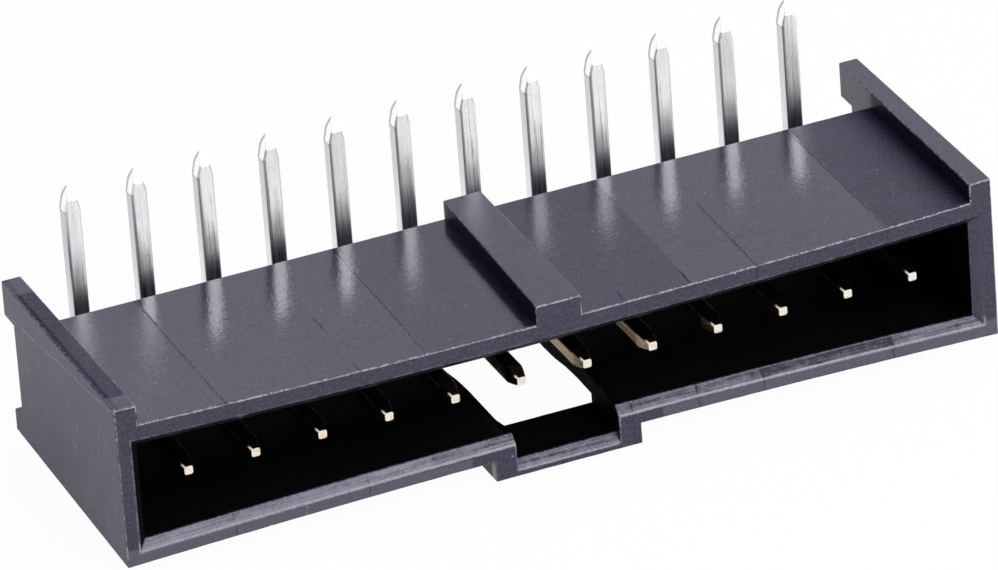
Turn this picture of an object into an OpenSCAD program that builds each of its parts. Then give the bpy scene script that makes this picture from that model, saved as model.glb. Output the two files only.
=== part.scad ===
// Single-row right-angle box header, drawn with its solder tails up.
// X runs along the row, the mouth of the shroud faces -Y and the board lies on the ribs, in +Z.
// Depths are counted back from the mouth, heights up from the underside at the mouth.

/* [Contacts] */
// Number of contacts in the row
contacts = 12; // [4:1:20]
// Distance between neighbouring contacts
pitch = 2.54; // [2.3:0.01:3]
// Width of the square post
post = 0.63; // [0.5:0.01:0.8]
// Radius on the long edges of the post
post_edge = 0.13; // [0.05:0.01:0.2]
// Inside radius of the bend
bend_in = 0.6; // [0.3:0.05:0.9]
// Depth of the mating end behind the mouth
mate_setback = 0.86; // [0.4:0.02:2]
// Length of the nose at the mating end
mate_nose = 0.75; // [0.4:0.05:1.2]
// Width of the blunt face at the mating end
mate_tip = 0.32; // [0.15:0.01:0.4]
// Depth of the row of tails behind the mouth
tail_depth = 10.82; // [10.6:0.02:12]
// Reach of the tails above the ribs
tail_reach = 3.15; // [2.2:0.05:4]
// Length of the facets on the sides of the tail's nose
tail_nose = 0.94; // [0.4:0.02:1.2]
// Length of the facets on the front and back of the tail's nose
tail_face_nose = 0.46; // [0.3:0.02:1.2]
// Width of the blunt face at the tail end
tail_tip = 0.1; // [0.06:0.01:0.4]
// Share of a nose's slope that is turned at once where it leaves the post
nose_turn = 0.6; // [0:0.05:0.8]
// Radius on the edges of a nose, where its facets meet
nose_edge = 0.1; // [0.04:0.01:0.13]
// Gap between a post and its hole, on each side
post_gap = 0.01; // [0.005:0.005:0.04]

/* [Shroud] */
// From the last contact to the end face, at the mouth
end_over = 2.87; // [2.2:0.01:4]
// Thickness of the end walls at the mouth
end_t = 0.85; // [0.75:0.01:1.1]
// Thickness of the floor at the mouth
floor_t = 0.82; // [0.6:0.01:1.2]
// Thickness of the roof
roof_t = 0.93; // [0.6:0.01:1.2]
// Height of the cavity
cavity_h = 3.8; // [3:0.05:5]
// Depth of the cavity
cavity_d = 6.9; // [5.5:0.05:7.2]
// Thickness of the back wall that holds the contacts
back_t = 1.64; // [1:0.02:1.7]
// Lead-in bevel round the mouth
bevel = 0.33; // [0.1:0.01:0.5]
// Slope of the underside towards the back, in degrees
floor_draft = 1.85; // [0:0.05:2]
// Slope of the end faces towards the back, in degrees
end_draft = 0.53; // [0:0.01:0.6]

/* [Ribs and ears] */
// Height of the stand-off ribs above the roof
rib_h = 0.74; // [0.3:0.02:1.2]
// Width of the middle rib at the mouth
mid_rib_w = 1.76; // [1:0.02:3]
// Slope of each side of the middle rib, in degrees
rib_draft = 0.95; // [0:0.05:1.5]
// Depth at which the ears end behind the mouth
ear_d = 11; // [10.6:0.02:12]
// Height of the ears
ear_h = 1.38; // [1:0.02:2]
// Depth at which the end walls stop under the ears
end_d = 10.08; // [9.4:0.02:10.4]
// Depth at which the floor's rear skirt ends
skirt_d = 10.85; // [10.5:0.02:11.5]
// Height of the skirt's upper face
skirt_z = 1.22; // [1:0.02:1.4]

/* [Latch bridge] */
// Width of the latch channel between its cheeks
channel_w = 3.96; // [3:0.02:5]
// Depth of the channel's floor under the underside
channel_drop = 0.24; // [0.1:0.02:0.6]
// Thickness of the bridge under the channel
bridge_t = 0.56; // [0.4:0.02:0.9]
// Thickness of the cheeks beside the channel
cheek_t = 0.85; // [0.6:0.01:1.2]
// Depth of the bridge behind the mouth
bridge_d = 2.77; // [2:0.05:4]
// Added width of the slot behind the bridge, on each side
slot_ease = 0.1; // [0:0.02:0.3]
// Depth at which the channel starts to widen
ease_start = 0.85; // [0.6:0.05:1]
// Depth at which the slot has its full width
ease_end = 1.5; // [1.2:0.05:1.8]

/* [Hidden] */
$fn = 48;
// Overrun of a cut past the face that it opens
over = 1;

row_l = (contacts - 1) * pitch;
half_l = row_l / 2 + end_over;
cavity_half = half_l - end_t;
roof_z = floor_t + cavity_h + roof_t;
rib_z = roof_z + rib_h;
roof_d = cavity_d + back_t;
axis_z = floor_t + cavity_h / 2;
skirt_rise = skirt_d * tan(floor_draft);
bridge_drop = channel_drop + bridge_t;
tail_z = rib_z + tail_reach;
depth = max(ear_d, tail_depth + post / 2);
bend_r = bend_in + post / 2;
mate_l = tail_depth - bend_r - mate_setback;
tail_l = tail_z - axis_z - bend_r;
hole = post + 2 * post_gap;

function pin_name(i) = str("pin_", i < 10 ? "0" : "", i);
function pin_x(i) = (i - 1) * pitch - row_l / 2;
// Slope of a nose's side against the leg, taken along the chord from the full width to the tip
function nose_slope(width, tip, nose) = atan((width - tip) / 2 / nose);
// Angle by which the nose's arc leaves the side of the leg
function nose_start(width, tip, nose) = nose_turn * nose_slope(width, tip, nose);
// Radius of that arc, which ends on the tip
function nose_r(width, tip, nose) =
    norm([(width - tip) / 2, nose]) / 2 / sin((1 - nose_turn) * nose_slope(width, tip, nose));
// Angle of the arc against the leg at a distance from the tip
function nose_angle(width, tip, nose, from_tip) =
    asin(sin(nose_start(width, tip, nose)) + (nose - from_tip) / nose_r(width, tip, nose));
// Half the nose's width at that distance
function nose_half(width, tip, nose, from_tip) =
    width / 2 - nose_r(width, tip, nose)
    * (cos(nose_start(width, tip, nose)) - cos(nose_angle(width, tip, nose, from_tip)));
// Reach of a rounded corner from the middle of a section
function corner_reach(half_x, half_y, edge) = norm([half_x - edge, half_y - edge]) + edge;

// Part frame: middle of the outline in X and Y, bridge standing on Z = 0
module placed() {
    translate([0, -depth / 2, bridge_drop]) children();
}

// A profile in depth and height, drawn out along X between two stations
module along_x(from, to) {
    translate([from, 0, 0]) rotate([90, 0, 90]) linear_extrude(to - from) children();
}

// A profile in X and depth, drawn up between two heights
module along_z(from, to) {
    translate([0, 0, from]) linear_extrude(to - from) children();
}

// Box from the mouth backwards, centred on the row
module centred_box(width, from_d, to_d, from_z, to_z) {
    translate([-width / 2, from_d, from_z]) cube([width, to_d - from_d, to_z - from_z]);
}

// Floor with its rear skirt, back wall and roof in one section
module shell_section() {
    polygon([
        [0, 0], [skirt_d, skirt_rise], [skirt_d, skirt_z], [roof_d, skirt_z], [roof_d, roof_z], [0, roof_z]
    ]);
}

// End wall with its stand-off rib, ear, rear recess and lip
module end_section() {
    polygon([
        [0, 0], [skirt_d, skirt_rise], [skirt_d, skirt_z], [end_d, skirt_z], [end_d, rib_z - ear_h],
        [ear_d, rib_z - ear_h], [ear_d, rib_z], [0, rib_z]
    ]);
}

// Outline from above, narrower at the back by the draft of the end faces
module plan_outline() {
    back = half_l - ear_d * tan(end_draft);
    polygon([[-half_l, 0], [half_l, 0], [back, ear_d], [-back, ear_d]]);
}

module mid_rib() {
    front = mid_rib_w / 2;
    back = front - roof_d * tan(rib_draft);
    along_z(roof_z - roof_t / 2, rib_z) polygon([[-front, 0], [front, 0], [back, roof_d], [-back, roof_d]]);
}

module bridge_block() {
    centred_box(channel_w + 2 * cheek_t, 0, bridge_d, -bridge_drop, floor_t);
}

module body_block() {
    intersection() {
        union() {
            along_x(-half_l, half_l) shell_section();
            along_x(-half_l, -cavity_half) end_section();
            along_x(cavity_half, half_l) end_section();
        }
        along_z(-over, rib_z + over) plan_outline();
    }
    mid_rib();
    bridge_block();
}

// Mouth opening with a lead-in bevel on all four sides
module cavity() {
    mouth = cavity_half + bevel;
    centred_box(2 * cavity_half, -over, cavity_d, floor_t, floor_t + cavity_h);
    intersection() {
        along_x(-mouth - over, mouth + over) polygon([
            [0, floor_t - bevel], [bevel, floor_t],
            [bevel, floor_t + cavity_h], [0, floor_t + cavity_h + bevel]
        ]);
        along_z(0, roof_z) polygon([[-mouth, 0], [-cavity_half, bevel], [cavity_half, bevel], [mouth, 0]]);
    }
}

// Channel in X and depth: narrow between the cheeks, eased to the slot's width behind them
module channel_outline() {
    narrow = channel_w / 2;
    wide = narrow + slot_ease;
    polygon([
        [-narrow, -over], [narrow, -over], [narrow, ease_start], [wide, ease_end], [wide, cavity_d],
        [-wide, cavity_d], [-wide, ease_end], [-narrow, ease_start]
    ]);
}

// Way in for the latch, with its own lead-in bevel
module latch_channel() {
    along_z(-channel_drop, floor_t + bevel) channel_outline();
    along_x(-channel_w / 2, channel_w / 2) polygon([
        [-over, -channel_drop - bevel - over], [0, -channel_drop - bevel], [bevel, -channel_drop],
        [bevel, floor_t], [-over, floor_t]
    ]);
}

// Slot behind the bridge, open through the floor and out at the back
module latch_slot() {
    slot_w = channel_w + 2 * slot_ease;
    centred_box(slot_w, bridge_d, skirt_d + over, -bridge_drop - over, floor_t);
    centred_box(slot_w, roof_d, skirt_d + over, -bridge_drop - over, skirt_z + over);
}

module contact_holes() {
    for (i = [1 : contacts]) translate([pin_x(i), 0, axis_z - hole / 2])
        centred_box(hole, cavity_d - over, roof_d + over, 0, hole);
}

module housing() {
    color([0.11, 0.105, 0.125]) placed() difference() {
        body_block();
        cavity();
        latch_channel();
        latch_slot();
        contact_holes();
    }
}

// Square post with rounded long edges
module post_section() {
    square([post, post - 2 * post_edge], center = true);
    square([post - 2 * post_edge, post], center = true);
    for (x = [-1, 1], y = [-1, 1]) translate([x, y] * (post / 2 - post_edge)) circle(post_edge);
}

// Side view of a nose, its tip at the origin
module nose_side(width, tip, nose) {
    r = nose_r(width, tip, nose);
    across = r * cos(nose_start(width, tip, nose)) - width / 2;
    along = r * sin(nose_start(width, tip, nose)) + nose;
    intersection() {
        translate([-across, along]) circle(r);
        translate([across, along]) circle(r);
        translate([-width / 2, 0]) square([width, nose]);
    }
}

// Side view of a straight leg, its tip at the origin
module leg_side(length, nose, tip) {
    nose_side(post, tip, nose);
    translate([-post / 2, nose]) square([post, length - nose]);
}

// Half outline of the round form that takes the corners off a nose
module corner_outline(length, side_nose, face_nose, tip) {
    short = min(side_nose, face_nose);
    long = max(side_nose, face_nose);
    tip_reach = corner_reach(tip / 2, tip / 2, tip / 4);
    shoulder = corner_reach(nose_half(post, tip, long, short), post / 2, nose_edge);
    clear = max(shoulder, corner_reach(post / 2, post / 2, post_edge) + post_gap);
    intersection() {
        nose_side(2 * shoulder, 2 * tip_reach, short);
        square([shoulder, short]);
    }
    polygon([[0, short], [shoulder, short], [clear, long + post_gap], [clear, length], [0, length]]);
}

// Straight leg along +Z with a four-sided bullet nose, its facets in two lengths and its corners rounded
module leg(length, side_nose, face_nose, tip) {
    past = length + over;
    intersection() {
        linear_extrude(length) post_section();
        rotate([90, 0, 0]) linear_extrude(2 * post, center = true) leg_side(past, side_nose, tip);
        rotate([90, 0, 90]) linear_extrude(2 * post, center = true) leg_side(past, face_nose, tip);
        rotate_extrude() corner_outline(past, side_nose, face_nose, tip);
    }
}

// Mating leg, bend and solder tail, formed from one wire
module pin(i) {
    color([0.80, 0.77, 0.68]) placed() translate([pin_x(i), 0, 0]) {
        translate([0, mate_setback, axis_z]) rotate([-90, 0, 0])
            leg(mate_l, mate_nose, mate_nose, mate_tip);
        translate([0, tail_depth - bend_r, axis_z + bend_r]) rotate([0, 90, 0])
            rotate_extrude(angle = 90) translate([bend_r, 0]) post_section();
        translate([0, tail_depth, tail_z]) rotate([180, 0, 0])
            leg(tail_l, tail_nose, tail_face_nose, tail_tip);
    }
}

housing();
for (i = [1 : contacts]) pin(i);
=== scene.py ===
"""Looks of a right-angle box pin header: a black moulded housing and twelve bright bent contacts."""

import math
from types import SimpleNamespace

import bmesh
import bpy
from mathutils import Matrix, Vector, noise


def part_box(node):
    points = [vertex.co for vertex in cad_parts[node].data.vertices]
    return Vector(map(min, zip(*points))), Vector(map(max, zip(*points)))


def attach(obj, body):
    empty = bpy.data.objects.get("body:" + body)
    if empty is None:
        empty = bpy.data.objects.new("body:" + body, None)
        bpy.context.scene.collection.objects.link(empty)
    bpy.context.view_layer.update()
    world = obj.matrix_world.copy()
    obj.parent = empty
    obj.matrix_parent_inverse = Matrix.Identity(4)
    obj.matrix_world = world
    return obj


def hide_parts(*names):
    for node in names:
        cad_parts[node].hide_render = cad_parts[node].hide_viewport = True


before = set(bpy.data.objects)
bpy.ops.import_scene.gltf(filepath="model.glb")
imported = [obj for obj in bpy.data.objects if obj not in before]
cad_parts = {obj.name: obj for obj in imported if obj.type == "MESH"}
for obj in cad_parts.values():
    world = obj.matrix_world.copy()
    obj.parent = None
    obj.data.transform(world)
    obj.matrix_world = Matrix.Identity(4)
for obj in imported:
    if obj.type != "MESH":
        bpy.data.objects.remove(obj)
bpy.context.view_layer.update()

# Units: meshes are worked on in millimetres and stored in metres
MM = 0.001

# Datum faces of the part, in millimetres, from the frame
HOUSING_LOW, HOUSING_HIGH = [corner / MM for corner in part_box("housing")]
MOUTH_Y = HOUSING_LOW.y
RIB_Z = HOUSING_HIGH.z
HALF_LENGTH = HOUSING_HIGH.x

# Moulded sizes that the frame's boxes don't give
RIB_HEIGHT = 0.74
ROOF_T = 0.93
CAVITY_H = 3.8
CAVITY_DEPTH = 6.9
ROOF_DEPTH = 8.54
END_WALL = 0.85
PITCH = 2.54
CAVITY_HALF = HALF_LENGTH - END_WALL
ROOF_Z = RIB_Z - RIB_HEIGHT
CEILING_Z = ROOF_Z - ROOF_T
FLOOR_Z = CEILING_Z - CAVITY_H

# Lead-in bevel around the mouth; the latch way, the cheeks beside it and the lower lip, from the middle
BEVEL_DEPTH = 0.4
BEVEL_NORMAL_Z = 0.707
LATCH_HALF = 2.2
CHEEK_INNER = 2.4
CHEEK_OUTER = 3.2
CHEEK_TOP = 0.85
LIP_START = 3.6
SILL_HEIGHT = 0.5
# Share of a face's direction along an axis from which it starts and ends to count as facing that way
FACING = (0.8, 0.97)
# Height that parts the roof and ribs from the cavity, and how far wear and painted edge highlights reach in
# from the mouth
ROOF_PARTS_Z = CEILING_Z + 0.3
MOUTH_WEAR_AND_HIGHLIGHT = 0.12

# Wire sizes: its width, the middle of the tails, their tips, the mating ends, the lengths of the tips' facets
POST = 0.63
TAIL_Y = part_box("pin_01")[1].y / MM - 0.5 * POST
TIP_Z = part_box("pin_01")[1].z / MM
MATE_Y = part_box("pin_01")[0].y / MM
SIDE_NOSE = 0.94
FACE_NOSE = 0.46
TIP_HALF = 0.06
# Painted dark reflection: grey rim at the back of the tips' sides, where the nose starts and at its tip, and
# grey shoulder; glint's reach
RIM_WIDTH = 0.20
RIM_WIDTH_AT_TIP = 0.08
SHOULDER_HALF = 0.05
GLINT_REACH = 0.10

# Warp of the moulding: the roof sags and the floor rises at the middle of the mouth
ROOF_SAG = 0.31
FLOOR_RISE = 0.29
# The floor's rise fades over this share of the cavity's depth, at the back
RISE_FADE = 0.4

# Softened edges of the moulding and of the contacts; ragged offsets, with their waves per millimetre
EDGE_RADIUS = 0.08
EDGE_STEPS = 2
POST_EDGE_RADIUS = 0.03
ROOF_BURR = 0.035
EDGE_NICK = 0.006
COARSE_WAVE = 2.1
FINE_WAVE = 5.3

# Mesh work: what counts as flush, as sharp and as flat, the spacing of cuts, distances taken as zero
FLUSH_COSINE = math.cos(math.radians(12))
SHARP_ANGLE = math.radians(20)
FLAT_ANGLE = math.radians(0.2)
STATION_STEP = 0.25
MERGE_DISTANCE = 0.0005
CUT_TOLERANCE = 0.0001

# Tool inserts: parting lines, as pitches from the middle with the depths between which they show
INSERT_LINES = [(-5, -0.5, 11.0), (-3, -0.5, 0.5), (-3, 3.4, 4.0), (-2, 0.2, 11.0), (1, -0.5, 0.5),
                (2, -0.5, 0.8), (3, -0.5, 4.8), (5, -0.5, 11.0)]
INSERT_LINE_HALF = 0.06
INSERT_LINE_WANDER = 0.20
# Roughness of the roof from each station along the row onwards
ROOF_GLOSS = [(-HALF_LENGTH, 0.28), (-5 * PITCH, 0.08), (-2 * PITCH, 0.15), (0.0, 0.16), (2 * PITCH, 0.11),
              (5 * PITCH, 0.36)]
# Share of the gloss that is lost on the roof and on the lead-in bevel, in the same way
ROOF_DULL = [(-HALF_LENGTH, 0.0), (-2 * PITCH, 0.10), (0.0, 0.21), (2 * PITCH, 0.01), (5 * PITCH, 0.29)]
BEVEL_DULL = [(-HALF_LENGTH, 0.14), (-2 * PITCH, 0.44), (PITCH, 0.58), (3 * PITCH, 0.88), (5 * PITCH, 0.47)]
# Corner of the roof beside the right rib, from its start onwards, where gloss is taken away as painted shade;
# dull middle of the left rib, by depth
CORNER_START = 14.0
RIB_DULL_FROM = 0.9
RIB_DULL_TO = 9.6
# Seam on the left rib's top: how far in from the outer edge it runs, and its half width; taper of the ends
SEAM_INSET = 0.15
SEAM_HALF = 0.12
END_TAPER = math.tan(math.radians(0.53))

# Rub line on the end faces: its height at the mouth, its fall per unit of depth, its half width
RUB_HEIGHT = 6.94
RUB_SLOPE = 0.102
RUB_HALF = 0.06

# Colours of the plastic: two tones of its body, then faces, lips, grain and wear that lie over them, with
# painted light and shade among them
BODY_DARK = (0.007, 0.005, 0.026, 1)
BODY_LIGHT = (0.011, 0.008, 0.040, 1)
# Painted light: the end faces get a bluer tone than the same plastic elsewhere, for the light they catch
END_FACE_PAINTED_TONE = (0.008, 0.002, 0.062, 1)
# Painted shade: inner side faces and faces turned down
SHADED_COLOUR = (0.004, 0.002, 0.010, 1)
# Painted shade: the front faces a little darker than the body's tone
FRONT_PAINTED_SHADE = (0.004, 0.002, 0.018, 1)
# Painted light: the cheeks' outer sides made light grey as if lit from under the housing
CHEEK_PAINTED_LIGHT = (0.12, 0.11, 0.14, 1)
LOWER_LIP_COLOUR = (0.036, 0.033, 0.048, 1)
DULL_BEVEL_COLOUR = (0.034, 0.031, 0.042, 1)
GRAIN_COLOUR = (0.032, 0.029, 0.044, 1)
# Painted shade: near black in the cavity and on the mouth's left jamb
CAVITY_PAINTED_SHADE = (0.0006, 0.0005, 0.0010, 1)
# Scuffed edges: real wear and painted highlights along the edges
SCUFF_AND_HIGHLIGHT_COLOUR = (0.20, 0.19, 0.22, 1)
RUB_COLOUR = (0.21, 0.20, 0.27, 1)
DUST_COLOUR = (0.38, 0.37, 0.40, 1)
GLOSS_TINT = (0.92, 0.86, 1.0, 1)

# Colours of the wire: tin with its sides, the nose's painted highlight, the rim's painted dark reflection and
# the foot's painted shade; gold flash with its edges' painted shade, cut end and glint
TIN_DARK = (0.85, 0.85, 0.835, 1)
TIN_LIGHT = (0.94, 0.94, 0.925, 1)
TIN_SIDE = (0.79, 0.785, 0.82, 1)
# Painted highlight: white nose facets on the tails' sides
TIN_NOSE_HIGHLIGHT = (1.0, 1.0, 1.0, 1)
# Painted dark reflection on the tips' rim, shoulder and corners
TIN_RIM_PAINTED_DARK = (0.48, 0.48, 0.49, 1)
# Painted shade at the tails' feet and on the grooves near them
TIN_FOOT_SHADE = (0.10, 0.10, 0.11, 1)
FLASH_DARK = (0.80, 0.58, 0.36, 1)
FLASH_LIGHT = (0.94, 0.76, 0.54, 1)
# Painted shade on the gold's softened edges
FLASH_EDGE_SHADE = (0.30, 0.18, 0.09, 1)
CUT_END_LIGHT = (1.0, 0.93, 0.83, 1)
CUT_END_DARK = (0.86, 0.68, 0.48, 1)
GLINT_COLOUR = (1.0, 0.95, 0.86, 1)

# Camera, solved from the photograph: the point it looks at lies behind the mouth and above the underside
PHOTO_W = 998
FOCAL_PX = 11685.4
CAMERA_AZIMUTH = math.radians(-21.458)
CAMERA_ELEVATION = math.radians(28.036)
CAMERA_ROLL = math.radians(-4.350)
CAMERA_DISTANCE = 413.58
TARGET_X = -0.614
TARGET_DEPTH = 4.0
TARGET_HEIGHT = 4.933
BRIDGE_DROP = 0.8
SENSOR_W = 36.0
CLIP_START = 0.01

# Lamps: how far they stand, in metres
LAMP_DISTANCE = 0.45
# Azimuth, elevation, half width and half height of each lamp in degrees, and its radiance
LOW_SOFT_BOX = (25, 14.5, 20, 14, 6.4)
HIGH_SOFT_BOX = (30, 50, 24, 15, 3.4)
# Paper floor: its half size in metres and its two tones
FLOOR_HALF = 1.0
PAPER_DARK = (0.91, 0.91, 0.91, 1)
PAPER_LIGHT = (0.95, 0.95, 0.95, 1)
# White of the room, and its tint in reflections from behind
WHITE = (1, 1, 1, 1)
ROOM_TINT = (0.95, 0.94, 1.0, 1)
# Where the paper behind the part, in millimetres, clears its shadow
FLOOR_BRIGHT_FROM = 23.0
FLOOR_BRIGHT_TO = 29.0
# Strip of painted light on the paper close behind the tails, seen only in reflections: its middle and half
# length, its near and far edges
FLOOR_STRIP_MIDDLE = -3.8
FLOOR_STRIP_HALF = 14.2
FLOOR_STRIP_NEAR = 11.0
FLOOR_STRIP_FAR = 18.5
# How far back the painted light on the paper beside the left end reaches, seen only in reflections
FLOOR_SIDE_FAR = 9.5
# Painted light on the paper left of the latch bridge, seen only in reflections: its two ends and how far
# under the housing it reaches
FLOOR_GAP_LEFT = -6.0
FLOOR_GAP_RIGHT = -2.5
FLOOR_GAP_DEPTH = 3.0


class Value:
    """A shader socket in an expression: arithmetic on it adds Math nodes."""

    def __init__(self, finish, socket):
        self.finish = finish
        self.socket = socket

    def _math(self, operation, first, second):
        return self.finish.add("ShaderNodeMath", {"operation": operation}, {0: first, 1: second})

    def __add__(self, other):
        return self._math("ADD", self, other)

    def __radd__(self, other):
        return self._math("ADD", other, self)

    def __sub__(self, other):
        return self._math("SUBTRACT", self, other)

    def __rsub__(self, other):
        return self._math("SUBTRACT", other, self)

    def __mul__(self, other):
        return self._math("MULTIPLY", self, other)

    def __rmul__(self, other):
        return self._math("MULTIPLY", other, self)

    def __truediv__(self, other):
        return self._math("DIVIDE", self, other)

    def __abs__(self):
        return self._math("ABSOLUTE", self, 0.0)


class Finish:
    """One procedural material, with a single way to add a node to it."""

    def __init__(self, name, tree=None):
        if tree is None:
            self.material = bpy.data.materials.new(name)
            self.material.use_nodes = True
            tree = self.material.node_tree
        self.tree = tree
        self.tree.nodes.clear()

    def add(self, kind, settings=None, inputs=None, out=0):
        node = self.tree.nodes.new(kind)
        for key, setting in (settings or {}).items():
            if key == "stops":
                self._set_stops(node.color_ramp, setting)
            else:
                setattr(node, key, setting)
        for key, value in (inputs or {}).items():
            if isinstance(value, Value):
                self.tree.links.new(value.socket, node.inputs[key])
            else:
                node.inputs[key].default_value = value
        if out is None:
            return node
        return Value(self, node.outputs[out])

    @staticmethod
    def _set_stops(ramp, stops):
        ramp.interpolation = "CONSTANT"
        while len(ramp.elements) < len(stops):
            ramp.elements.new(1.0)
        for element, (place, colour) in zip(ramp.elements, stops):
            element.position = place
            element.color = colour

    def place_mm(self):
        """Object coordinates in millimetres."""
        at = self.add("ShaderNodeTexCoord", out="Object")
        return self.add("ShaderNodeVectorMath", {"operation": "SCALE"}, {0: at, "Scale": 1 / MM})

    def axes(self, vector):
        node = self.add("ShaderNodeSeparateXYZ", inputs={0: vector}, out=None)
        return [Value(self, node.outputs[i]) for i in range(3)]

    def facing(self):
        """The three parts of the face's own direction."""
        return self.axes(self.add("ShaderNodeNewGeometry", out="True Normal"))

    def step(self, value, low, high, start=0.0, end=1.0):
        """Smooth change from start to end while value goes from low to high."""
        return self.add("ShaderNodeMapRange", {"interpolation_type": "SMOOTHSTEP"},
                        {"Value": value, "From Min": low, "From Max": high, "To Min": start, "To Max": end})

    def above(self, value, level, blur=0.1):
        """0 up to a level, 1 from a blur beyond it."""
        return self.step(value, level, level + blur)

    def below(self, value, level, blur=0.1):
        """1 up to a level, 0 from a blur beyond it."""
        return self.step(value, level, level + blur, 1.0, 0.0)

    def band(self, value, middle, half_width):
        """1 on the middle, 0 beyond the half width."""
        return self.below(abs(value - middle), 0.0, half_width)

    def by_insert(self, x, levels):
        """Level of the tool insert at a station along the row."""
        stops = [(0.5 + edge / (2 * HALF_LENGTH), (level, level, level, 1)) for edge, level in levels]
        return self.add("ShaderNodeValToRGB", {"stops": stops}, {0: (x + HALF_LENGTH) / (2 * HALF_LENGTH)})

    def noise(self, vector, scale, detail=2.0, roughness=0.5):
        return self.add("ShaderNodeTexNoise", {"noise_dimensions": "3D"},
                        {"Vector": vector, "Scale": scale, "Detail": detail, "Roughness": roughness})

    def stretched(self, vector, factors):
        return self.add("ShaderNodeVectorMath", {"operation": "MULTIPLY"}, {0: vector, 1: factors})

    def mix_colour(self, factor, first, second):
        return self.add("ShaderNodeMix", {"data_type": "RGBA"}, {0: factor, 6: first, 7: second}, out=2)

    def surface(self, shader):
        self.add("ShaderNodeOutputMaterial", inputs={"Surface": shader}, out=None)
        return self.material


def housing_masks(finish, x, depth, z):
    """Where a point of the moulding lies: one mask for each face or zone that has a finish, or painted light
    or shade, of its own.
    """
    side, front, top = finish.facing()
    sideways = finish.step(abs(side), *FACING)
    over_ceiling = finish.above(z, ROOF_PARTS_Z)
    at_mouth = finish.below(depth, MOUTH_WEAR_AND_HIGHLIGHT, 0.08)
    on = SimpleNamespace()
    on.upward = finish.step(top, *FACING)
    on.end_face = sideways * finish.above(abs(x), HALF_LENGTH - 0.4)
    on.front_face = finish.below(front, -0.97, 0.07)
    on.inner_side = sideways * (1 - on.end_face)
    # Painted shade falls on these inner sides and downward faces
    on.shaded = on.inner_side + finish.below(top, -0.5, 0.3)
    on.roof = on.upward * over_ceiling * finish.below(z, ROOF_Z + 0.1)
    on.left_rib_top = on.upward * finish.above(z, RIB_Z - 0.2) * finish.below(x, -CAVITY_HALF)
    on.lead_in = finish.band(top, BEVEL_NORMAL_Z, 0.1) * finish.below(depth, BEVEL_DEPTH)
    on.lower_lip = on.front_face * finish.below(z, FLOOR_Z - 0.2) * finish.above(abs(x), LIP_START, 0.2)
    on.upper_lip = finish.below(depth, 0.1) * finish.above(z, ROOF_Z - 0.5)
    # Cavity and left jamb, where shade is painted: a near black colour and lost gloss
    cavity = ((1 - on.lead_in) * finish.above(depth, BEVEL_DEPTH - 0.1)
              * finish.below(depth, CAVITY_DEPTH, 0.2) * finish.below(abs(x), CAVITY_HALF + 0.02, 0.08)
              * finish.below(z, CEILING_Z + 0.05))
    on.left_jamb = (finish.above(side, 0.5) * finish.below(depth, BEVEL_DEPTH)
                    * finish.below(x, 0.5 - CAVITY_HALF) * finish.below(z, ROOF_PARTS_Z))
    on.inside = cavity + (1 - cavity) * on.left_jamb
    on.rib_side = on.inner_side * over_ceiling * finish.below(depth, ROOF_DEPTH - 0.5, 0.5)
    on.rib_crest = finish.above(z, RIB_Z - 0.12, 0.06) * (1 - on.upper_lip)
    # Outer sides of the cheeks, where light is painted
    on.cheek_side = (on.inner_side * finish.above(abs(x), CHEEK_INNER) * finish.below(abs(x), CHEEK_OUTER)
                     * finish.below(z, CHEEK_TOP))
    on.sill_edge = at_mouth * finish.above(z, FLOOR_Z - SILL_HEIGHT, 0.05) * finish.below(z, FLOOR_Z)
    on.corner_post = at_mouth * finish.above(abs(x), HALF_LENGTH - 0.14, 0.06)
    on.right_jamb = (finish.above(x, CAVITY_HALF + 0.1) * finish.below(x, HALF_LENGTH - 0.3)
                     * finish.below(z, CEILING_Z + 0.4))
    on.latch_way = (finish.above(depth, 0.34, 0.16) * finish.below(abs(x), LATCH_HALF)
                    * finish.below(z, FLOOR_Z + 0.3))
    return on


def plastic_grain(finish, place):
    """Unevenness of the moulding, from broad clouds to fine grain, and brushing along the row."""
    return SimpleNamespace(
        cloud=finish.noise(place, 0.45, 3.0),
        mottle=finish.noise(place, 3.5, 4.0, 0.6),
        grain=finish.step(finish.noise(place, 9.0, 3.0, 0.65), 0.34, 0.66),
        brushed=finish.noise(finish.stretched(place, (0.5, 16.0, 4.0)), 1.0, 2.0),
        ripple=finish.noise(finish.stretched(place, (2.0, 3.0, 3.0)), 1.0, 2.0),
    )


def insert_lines(finish, x, depth, on, uneven):
    """Parting lines of the tool inserts, clearest on the roof, the bevel and the lower lip."""
    wandering = x + INSERT_LINE_WANDER * (uneven.mottle - 0.5)
    lines = 0.0
    for pitches, first, last in INSERT_LINES:
        along = finish.step(depth, first - 0.2, first) * finish.below(depth, last, 0.6)
        lines = lines + finish.band(wandering, pitches * PITCH, INSERT_LINE_HALF) * along
    lines = lines * finish.step(uneven.cloud, 0.30, 0.55, 0.35, 1.0) * (1 - on.inside)
    return lines * (0.45 + 0.85 * on.upward + 0.7 * on.lead_in + 0.9 * on.lower_lip)


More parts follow.
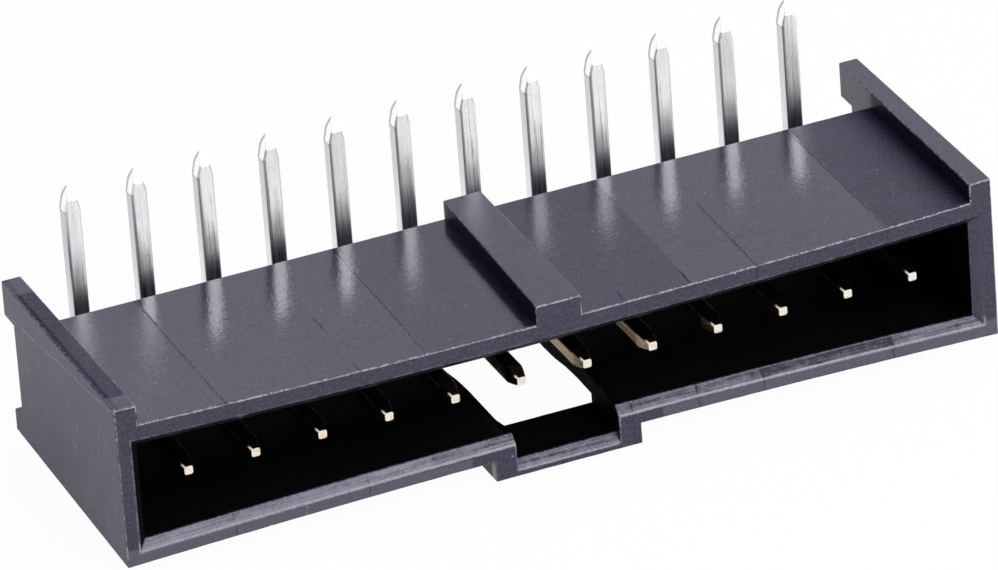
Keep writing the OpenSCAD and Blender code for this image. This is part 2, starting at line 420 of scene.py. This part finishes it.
def plastic_wear_and_highlights(finish, place, depth, z, on, uneven):
    """Scuffed edges, partly real wear and partly painted highlight, the rub line and scratches on the end
    faces, and specks of dust.
    """
    edge = finish.add("ShaderNodeAttribute", {"attribute_name": "edge"}, out="Fac")
    # Painted highlight: heavier on the roof's front edge, rib crests, sill and corner posts, lighter on the
    # right jamb
    wear_and_highlight = (0.25 + 0.75 * on.upper_lip + 0.6 * on.rib_crest + 0.2 * on.sill_edge + 0.3 * on.corner_post
            - 0.25 * on.right_jamb)
    chipped = finish.step(uneven.mottle + 0.22 * (uneven.grain - 0.5), 0.44, 0.60)
    scuff_and_highlight = edge * (1 - on.inside) * (chipped * wear_and_highlight + 0.45 * on.sill_edge + 0.12 * on.corner_post)

    rub_line = finish.band(z + RUB_SLOPE * depth + 0.25 * (uneven.cloud - 0.5), RUB_HEIGHT, RUB_HALF)
    rub_line = rub_line * finish.step(uneven.mottle, 0.38, 0.55)
    upright = finish.noise(finish.stretched(place, (0.3, 1.2, 0.25)), 1.0, 0.0)
    scratch = finish.band(upright, 0.5, 0.02) * finish.step(finish.noise(place, 0.7, 1.0), 0.57, 0.62)
    rub = on.end_face * (rub_line + 0.7 * scratch)

    dots = finish.add("ShaderNodeTexVoronoi", {}, {"Vector": place, "Scale": 2.8}, out=None)
    chosen = finish.axes(Value(finish, dots.outputs["Color"]))[0]
    dust = (finish.below(Value(finish, dots.outputs["Distance"]), 0.07, 0.07)
            * finish.above(chosen, 0.88, 0.02) * (1 - on.inside))
    return scuff_and_highlight, rub, dust


def black_plastic():
    """Moulded black plastic: fine grain, insert marks, gloss that differs by insert, scuffed edges, dust, and
    painted light and shade.
    """
    finish = Finish("black_plastic")
    place = finish.place_mm()
    x, y, z = finish.axes(place)
    depth = y - MOUTH_Y
    on = housing_masks(finish, x, depth, z)
    uneven = plastic_grain(finish, place)
    scuff_and_highlight, rub, dust = plastic_wear_and_highlights(finish, place, depth, z, on, uneven)
    dull_bevel = on.lead_in * finish.by_insert(x, BEVEL_DULL)

    # Colour: each layer covers the ones before it
    base = finish.mix_colour(finish.step(uneven.cloud + 0.4 * (uneven.mottle - 0.5), 0.3, 0.7),
                             BODY_DARK, BODY_LIGHT)
    layers = [
        # painted light on the end faces: a bluer tone
        (on.end_face, END_FACE_PAINTED_TONE),
        # painted shade on inner sides and downward faces
        (on.shaded, SHADED_COLOUR),
        # painted shade on the front faces
        (on.front_face, FRONT_PAINTED_SHADE),
        # painted light on the cheeks' outer sides
        (on.cheek_side, CHEEK_PAINTED_LIGHT),
        (0.6 * on.lower_lip, LOWER_LIP_COLOUR),
        (dull_bevel, DULL_BEVEL_COLOUR),
        (0.5 * uneven.grain * (1 - on.shaded), GRAIN_COLOUR),
        # painted shade in the cavity and on the left jamb
        (on.inside, CAVITY_PAINTED_SHADE),
        # scuffed edges: real wear and painted highlights
        (0.9 * scuff_and_highlight, SCUFF_AND_HIGHLIGHT_COLOUR),
        (0.9 * rub, RUB_COLOUR),
        (0.45 * dust, DUST_COLOUR),
    ]
    for share, colour in layers:
        base = finish.mix_colour(share, base, colour)

    # Roughness and relief
    plain = 0.33 + 0.10 * (uneven.cloud - 0.5) + 0.12 * (uneven.mottle - 0.5)
    polished = finish.by_insert(x, ROOF_GLOSS) + 0.06 * (uneven.mottle - 0.5) + 0.03 * (uneven.brushed - 0.5)
    roughness = plain + on.roof * (polished - plain) + 0.32 * on.lower_lip + 0.20 * scuff_and_highlight + 0.3 * dust
    height = 0.25 * uneven.grain + 0.2 * uneven.mottle + 0.8 * uneven.ripple + 0.6 * scuff_and_highlight
    bump = finish.add("ShaderNodeBump", inputs={"Strength": 0.5, "Distance": 0.01 * MM, "Height": height})

    # Share of the gloss that is lost, from the roof to the cavity; in the cavity, on the left jamb, in the
    # latch way, on the ribs' sides and in the roof's corner by the right rib this loss is painted shade
    roof_dulling_and_corner_shade = finish.by_insert(x, ROOF_DULL) + 0.35 * finish.step(x, CORNER_START, CAVITY_HALF)
    dull_rib = 0.48 * finish.above(depth, RIB_DULL_FROM) * finish.below(depth, RIB_DULL_TO)
    seam = on.left_rib_top * finish.band(x + HALF_LENGTH - END_TAPER * depth, SEAM_INSET, SEAM_HALF)
    blotch = finish.step(uneven.mottle, 0.36, 0.64)
    streak = finish.step(uneven.brushed, 0.36, 0.64)
    patchy = 0.16 * (1 - uneven.grain) * (1 - on.inside) + on.lead_in * (0.30 - 0.25 * blotch - 0.35 * streak)
    bevel_foot = on.lead_in * finish.below(depth, 0.13, 0.02)
    bevel_line = on.lead_in * finish.band(depth, 0.15, 0.025)
    lost = (on.roof * roof_dulling_and_corner_shade + dull_bevel + 0.12 * bevel_line - 0.2 * bevel_foot
            + on.left_rib_top * dull_rib + 0.22 * (on.front_face - on.lower_lip)
            + 0.45 * insert_lines(finish, x, depth, on, uneven) + 0.34 * seam
            + 0.65 * on.inside + 0.30 * on.left_jamb + 0.75 * on.latch_way + 0.6 * on.rib_side + patchy)

    shiny = finish.add("ShaderNodeBsdfPrincipled", inputs={
        "Base Color": base, "Roughness": roughness, "IOR": 1.83, "Specular Tint": GLOSS_TINT, "Normal": bump,
    })
    dull = finish.add("ShaderNodeBsdfPrincipled", inputs={
        "Base Color": base, "Roughness": 0.6, "Specular IOR Level": 0.05, "Normal": bump,
    })
    return finish.surface(finish.add("ShaderNodeMixShader", inputs={0: lost, 1: shiny, 2: dull}))


def contact_metal():
    """Square wire, tinned on the tail, gold-flashed towards the mating end, with drawing lines along it, and
    painted light and shade on its tips, edges and foot.
    """
    finish = Finish("contact_metal")
    place = finish.place_mm()
    y, z = finish.axes(place)[1:]
    side, front, top = finish.facing()
    edge = finish.add("ShaderNodeAttribute", {"attribute_name": "edge"}, out="Fac")
    gold = finish.step(y, MOUTH_Y + CAVITY_DEPTH, MOUTH_Y + ROOF_DEPTH, 1.0, 0.0)
    up_tail = finish.noise(finish.stretched(place, (22.0, 22.0, 0.14)), 1.0, 2.0, 0.6)
    on_leg = finish.noise(finish.stretched(place, (22.0, 0.14, 22.0)), 1.0, 2.0, 0.6)
    lines = up_tail + gold * (on_leg - up_tail)
    cloud = finish.noise(place, 1.5, 2.0)

    # Tin: lilac sheared sides, a painted highlight on the white nose facets, a painted dark reflection on
    # their grey rim and shoulder, painted shade at the foot and on the grooves near it
    sheared = finish.above(abs(side), 0.6, 0.2)
    corner = finish.above(abs(side * front), 0.12, 0.18)
    nose = finish.above(top, 0.06, 0.08)
    back_half = finish.step(z, TIP_Z - FACE_NOSE, TIP_Z, 0.5 * POST, TIP_HALF)
    rim_width = finish.step(z, TIP_Z - FACE_NOSE, TIP_Z, RIM_WIDTH, RIM_WIDTH_AT_TIP)
    rim = nose * sheared * finish.above(y - TAIL_Y - back_half + rim_width, -0.03, 0.05)
    shoulder = sheared * finish.band(z, TIP_Z - SIDE_NOSE, SHOULDER_HALF)
    # Drawing grooves, darker near the foot as painted shade
    groove = (finish.step(up_tail, 0.55, 0.62)
              * finish.step(z + 4 * (cloud - 0.5), ROOF_Z + 0.4, ROOF_Z + 2.8, 0.6, 0.0))
    foot_shade = (1 - sheared) * (finish.step(z, ROOF_Z - 1.0, ROOF_Z - 0.2, 0.5, 0.0) + groove)
    tin = finish.mix_colour(cloud, TIN_DARK, TIN_LIGHT)
    tin = finish.mix_colour(sheared, tin, TIN_SIDE)
    # painted highlight on the nose facets
    tin = finish.mix_colour(nose * sheared, tin, TIN_NOSE_HIGHLIGHT)
    # painted dark reflection on the corners, the rim and the shoulder
    tin = finish.mix_colour(0.2 * corner + rim + 0.8 * shoulder, tin, TIN_RIM_PAINTED_DARK)
    # painted shade at the foot
    tin = finish.mix_colour(foot_shade, tin, TIN_FOOT_SHADE)

    # Gold flash: painted shade on its softened edges, a rubbed cut end and a painted glint on the upper left
    # corner of the mating tip
    blunt_end = finish.below(front, -0.95)
    rubbed = finish.step(finish.noise(place, 6.0, 2.0), 0.48, 0.62)
    cut_end = finish.mix_colour(0.6 * rubbed, CUT_END_LIGHT, CUT_END_DARK)
    glint = gold * finish.below(side * top, -0.30, 0.15) * finish.below(y, MATE_Y + GLINT_REACH, 0.20)
    flash = finish.mix_colour(cloud, FLASH_DARK, FLASH_LIGHT)
    flash = finish.mix_colour(0.7 * edge, flash, FLASH_EDGE_SHADE)
    flash = finish.mix_colour(blunt_end, flash, cut_end)
    flash = finish.mix_colour(glint, flash, GLINT_COLOUR)

    foot = finish.step(z, ROOF_Z - 0.9, ROOF_Z + 0.5, 1.0, 0.0)
    right_corner = finish.below(side * front, -0.30, 0.18)
    smoother = 0.10 * sheared + 0.12 * nose + 0.13 * foot - 0.22 * right_corner * (1 - foot)
    roughness = 0.27 + 0.30 * lines - 0.27 * gold - smoother * (1 - gold) + 0.7 * glint
    bump = finish.add("ShaderNodeBump", inputs={"Strength": 0.8, "Distance": 0.015 * MM, "Height": lines})
    shader = finish.add("ShaderNodeBsdfPrincipled", inputs={
        "Base Color": finish.mix_colour(gold, tin, flash), "Metallic": 1.0, "Roughness": roughness,
        "Normal": bump,
    })
    return finish.surface(shader)


def paper_floor():
    """White paper: white to the camera and, far behind the part, in reflections; painted light in reflections
    behind the tails, beside the left end and left of the latch bridge; the object's soft shadow kept.
    """
    finish = Finish("paper_floor")
    path = finish.add("ShaderNodeLightPath", out=None)
    direct = Value(finish, path.outputs["Is Camera Ray"]) + Value(finish, path.outputs["Is Transmission Ray"])
    mirrored = Value(finish, path.outputs["Is Glossy Ray"])
    place = finish.place_mm()
    x, y = finish.axes(place)[:2]
    depth = y - MOUTH_Y
    behind = (finish.step(y, FLOOR_BRIGHT_FROM, FLOOR_BRIGHT_TO)
              + finish.above(y, FLOOR_STRIP_NEAR - 1, 2) * finish.below(y, FLOOR_STRIP_FAR - 2, 4)
              * finish.below(abs(x - FLOOR_STRIP_MIDDLE), FLOOR_STRIP_HALF - 1, 2))
    beside = finish.below(x, -HALF_LENGTH - 0.4, 0.4) * finish.below(y, FLOOR_SIDE_FAR - 8, 8)
    under = (finish.above(x, FLOOR_GAP_LEFT - 0.5, 0.5) * finish.below(x, FLOOR_GAP_RIGHT, 0.2)
             * finish.above(depth, -1, 1) * finish.below(depth, FLOOR_GAP_DEPTH - 1, 1))
    paper = finish.mix_colour(finish.noise(place, 0.8, 3.0), PAPER_DARK, PAPER_LIGHT)
    matt = finish.add("ShaderNodeBsdfDiffuse", inputs={"Color": paper})
    white = finish.add("ShaderNodeEmission", inputs={"Color": WHITE, "Strength": 1.0})
    # White to the camera; in reflections, painted light behind the tails, beside the left end and under the
    # housing
    share = 0.97 * direct + (0.16 + 0.79 * behind + 0.20 * beside + 0.79 * under) * mirrored
    return finish.surface(finish.add("ShaderNodeMixShader", inputs={0: share, 1: matt, 2: white}))


def warp(point):
    """Bow of the roof and floor at a point in millimetres, fading out at the ends and at the back wall."""
    across = max(0.0, 1 - (point.x / HALF_LENGTH) ** 2)
    depth = point.y - MOUTH_Y
    level = min(1.0, max(0.0, (point.z - FLOOR_Z) / CAVITY_H))
    roof = -ROOF_SAG * max(0.0, 1 - depth / ROOF_DEPTH)
    fade = min(1.0, max(0.0, (CAVITY_DEPTH - depth) / (RISE_FADE * CAVITY_DEPTH)))
    floor = FLOOR_RISE * fade * fade * (3 - 2 * fade)
    return across * (level * roof + (1 - level) * floor)


def burr(point):
    """Outward offset of a softened edge: ragged flash along the roof's front edge, small nicks elsewhere."""
    ragged = noise.noise(point * COARSE_WAVE) + 0.6 * noise.noise(point * FINE_WAVE)
    on_roof_edge = abs(point.z - ROOF_Z) < 2 * EDGE_RADIUS and point.y - MOUTH_Y < 2 * EDGE_RADIUS
    return ragged * (ROOF_BURR if on_roof_edge else EDGE_NICK)


def face_normal(face, plain_faces):
    """Normal of a face at a corner, evened with the plain faces beside it that run nearly flush."""
    total = Vector()
    for other in plain_faces:
        if other.normal.dot(face.normal) > FLUSH_COSINE:
            total += other.normal * other.calc_area()
    return total.normalized()


def corner_normals(work, edge_layer):
    """Normals that keep plain faces flat and turn only across the softened edges."""
    normals = []
    for face in work.faces:
        on_edge = face.loops[0][edge_layer] > 0.5
        for loop in face.loops:
            vert = loop.vert
            plain_faces = [other for other in vert.link_faces if other.loops[0][edge_layer] < 0.5]
            if not plain_faces:
                normals.append(vert.normal.copy())
                continue
            nearest = max(plain_faces, key=lambda other: other.normal.dot(face.normal)) if on_edge else face
            normals.append(face_normal(nearest, plain_faces))
    return normals


def cut(work, place, normal):
    """Cut all faces where a plane crosses them."""
    everything = work.verts[:] + work.edges[:] + work.faces[:]
    bmesh.ops.bisect_plane(work, geom=everything, dist=CUT_TOLERANCE, plane_co=place, plane_no=normal)


def softened(node, radius):
    """A node's own mesh in millimetres with its sharp outer edges rounded, and a layer that marks them."""
    work = bmesh.new()
    work.from_mesh(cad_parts[node].data)
    bmesh.ops.scale(work, vec=Vector((1, 1, 1)) / MM, verts=work.verts)
    bmesh.ops.remove_doubles(work, verts=work.verts, dist=MERGE_DISTANCE)
    bmesh.ops.dissolve_limit(work, angle_limit=FLAT_ANGLE, verts=work.verts, edges=work.edges)
    sharp = [edge for edge in work.edges if edge.calc_face_angle(0.0) > SHARP_ANGLE and edge.is_convex]
    rounded = bmesh.ops.bevel(work, geom=sharp, offset=radius, offset_type="OFFSET", segments=EDGE_STEPS,
                              profile=0.5, affect="EDGES", clamp_overlap=True)
    edge_layer = work.loops.layers.float.new("edge")
    for face in rounded["faces"]:
        for loop in face.loops:
            loop[edge_layer] = 1.0
    return work, edge_layer


def warp_housing(work, edge_layer):
    """Cut the moulding into stations, nick its softened edges and bow its roof and floor."""
    stations = int(HALF_LENGTH / STATION_STEP)
    for i in range(-stations, stations + 1):
        cut(work, (i * STATION_STEP, 0, 0), (1, 0, 0))
    for i in range(1, int(ROOF_DEPTH)):
        cut(work, (0, MOUTH_Y + i, 0), (0, 1, 0))
    work.normal_update()
    crests = [vert for vert in work.verts if all(loop[edge_layer] > 0.5 for loop in vert.link_loops)]
    offsets = [vert.normal * burr(vert.co) for vert in crests]
    for vert, offset in zip(crests, offsets):
        vert.co += offset
    for vert in work.verts:
        vert.co.z += warp(vert.co)


def skin(node, material, radius, shape=None):
    """Visible piece that stands for a node: the node's form with softened edges and its own finish."""
    work, edge_layer = softened(node, radius)
    if shape:
        shape(work, edge_layer)
    bmesh.ops.triangulate(work, faces=[face for face in work.faces if len(face.verts) > 4])
    work.normal_update()
    normals = corner_normals(work, edge_layer)
    bmesh.ops.scale(work, vec=Vector((MM, MM, MM)), verts=work.verts)
    for face in work.faces:
        face.smooth = True
    mesh = bpy.data.meshes.new(node + "_skin")
    work.to_mesh(mesh)
    work.free()
    mesh.normals_split_custom_set(normals)
    mesh.materials.append(material)
    piece = bpy.data.objects.new(node + "_skin", mesh)
    bpy.context.scene.collection.objects.link(piece)
    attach(piece, "root")
    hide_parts(node)


def photo_camera():
    """Camera of the photograph, with its middle on the picture's middle."""
    back = Vector((math.sin(CAMERA_AZIMUTH) * math.cos(CAMERA_ELEVATION),
                   -math.cos(CAMERA_AZIMUTH) * math.cos(CAMERA_ELEVATION), math.sin(CAMERA_ELEVATION)))
    level = Vector((math.cos(CAMERA_AZIMUTH), math.sin(CAMERA_AZIMUTH), 0))
    upright = back.cross(level)
    right = level * math.cos(CAMERA_ROLL) + upright * math.sin(CAMERA_ROLL)
    up = upright * math.cos(CAMERA_ROLL) - level * math.sin(CAMERA_ROLL)
    target = Vector((TARGET_X, MOUTH_Y + TARGET_DEPTH, TARGET_HEIGHT + BRIDGE_DROP))
    eye = (target + back * CAMERA_DISTANCE) * MM
    lens = bpy.data.cameras.new("photo_camera")
    lens.sensor_width = SENSOR_W
    lens.lens = SENSOR_W * FOCAL_PX / PHOTO_W
    lens.clip_start = CLIP_START
    camera = bpy.data.objects.new("photo_camera", lens)
    camera.matrix_world = Matrix.Translation(eye) @ Matrix((right, up, back)).transposed().to_4x4()
    bpy.context.scene.collection.objects.link(camera)
    bpy.context.scene.camera = camera


def soft_box(name, azimuth, elevation, half_wide, half_high, radiance):
    """Rectangular lamp with an even radiance, placed and sized by the angles at which the part sees it."""
    turn, rise = math.radians(azimuth), math.radians(elevation)
    towards = Vector((math.sin(turn) * math.cos(rise), -math.cos(turn) * math.cos(rise), math.sin(rise)))
    data = bpy.data.lights.new(name, "AREA")
    data.shape = "RECTANGLE"
    data.size = 2 * LAMP_DISTANCE * math.tan(math.radians(half_wide))
    data.size_y = 2 * LAMP_DISTANCE * math.tan(math.radians(half_high))
    data.energy = radiance * math.pi * data.size * data.size_y
    lamp = bpy.data.objects.new(name, data)
    lamp.location = towards * LAMP_DISTANCE
    lamp.rotation_euler = towards.to_track_quat("Z", "Y").to_euler()
    bpy.context.scene.collection.objects.link(lamp)


def white_room():
    """World: white to the camera and in reflections, dimmer as light, with one dark corner."""
    world = bpy.data.worlds.new("white_room")
    bpy.context.scene.world = world
    world.use_nodes = True
    room = Finish("white_room", world.node_tree)
    path = room.add("ShaderNodeLightPath", out=None)
    mirrored = Value(room, path.outputs["Is Glossy Ray"])
    seen = (Value(room, path.outputs["Is Camera Ray"]) + mirrored
            + Value(room, path.outputs["Is Transmission Ray"]))
    x, y, z = room.axes(room.add("ShaderNodeTexCoord", out="Generated"))
    dark_corner = room.below(x, -0.25, 0.25) * room.above(y, 0.0, 0.3) * room.above(z, 0.1, 0.2)
    tint = room.mix_colour(mirrored * room.above(y, 0.1, 0.3), WHITE, ROOM_TINT)
    strength = (0.45 + 0.55 * seen) * (1 - 0.9 * dark_corner)
    glow = room.add("ShaderNodeBackground", inputs={"Color": tint, "Strength": strength})
    room.add("ShaderNodeOutputWorld", inputs={"Surface": glow}, out=None)


def lay_paper():
    """Paper floor under the part."""
    mesh = bpy.data.meshes.new("paper_floor")
    corners = [(-FLOOR_HALF, -FLOOR_HALF, 0), (FLOOR_HALF, -FLOOR_HALF, 0),
               (FLOOR_HALF, FLOOR_HALF, 0), (-FLOOR_HALF, FLOOR_HALF, 0)]
    mesh.from_pydata(corners, [], [(0, 1, 2, 3)])
    floor = bpy.data.objects.new("paper_floor", mesh)
    bpy.context.scene.collection.objects.link(floor)
    mesh.materials.append(paper_floor())


bpy.context.scene.view_settings.view_transform = "Standard"
photo_camera()
white_room()
soft_box("low_soft_box", *LOW_SOFT_BOX)
soft_box("high_soft_box", *HIGH_SOFT_BOX)
lay_paper()

skin("housing", black_plastic(), EDGE_RADIUS, warp_housing)
metal = contact_metal()
for contact in [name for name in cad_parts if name.startswith("pin_")]:
    skin(contact, metal, POST_EDGE_RADIUS)
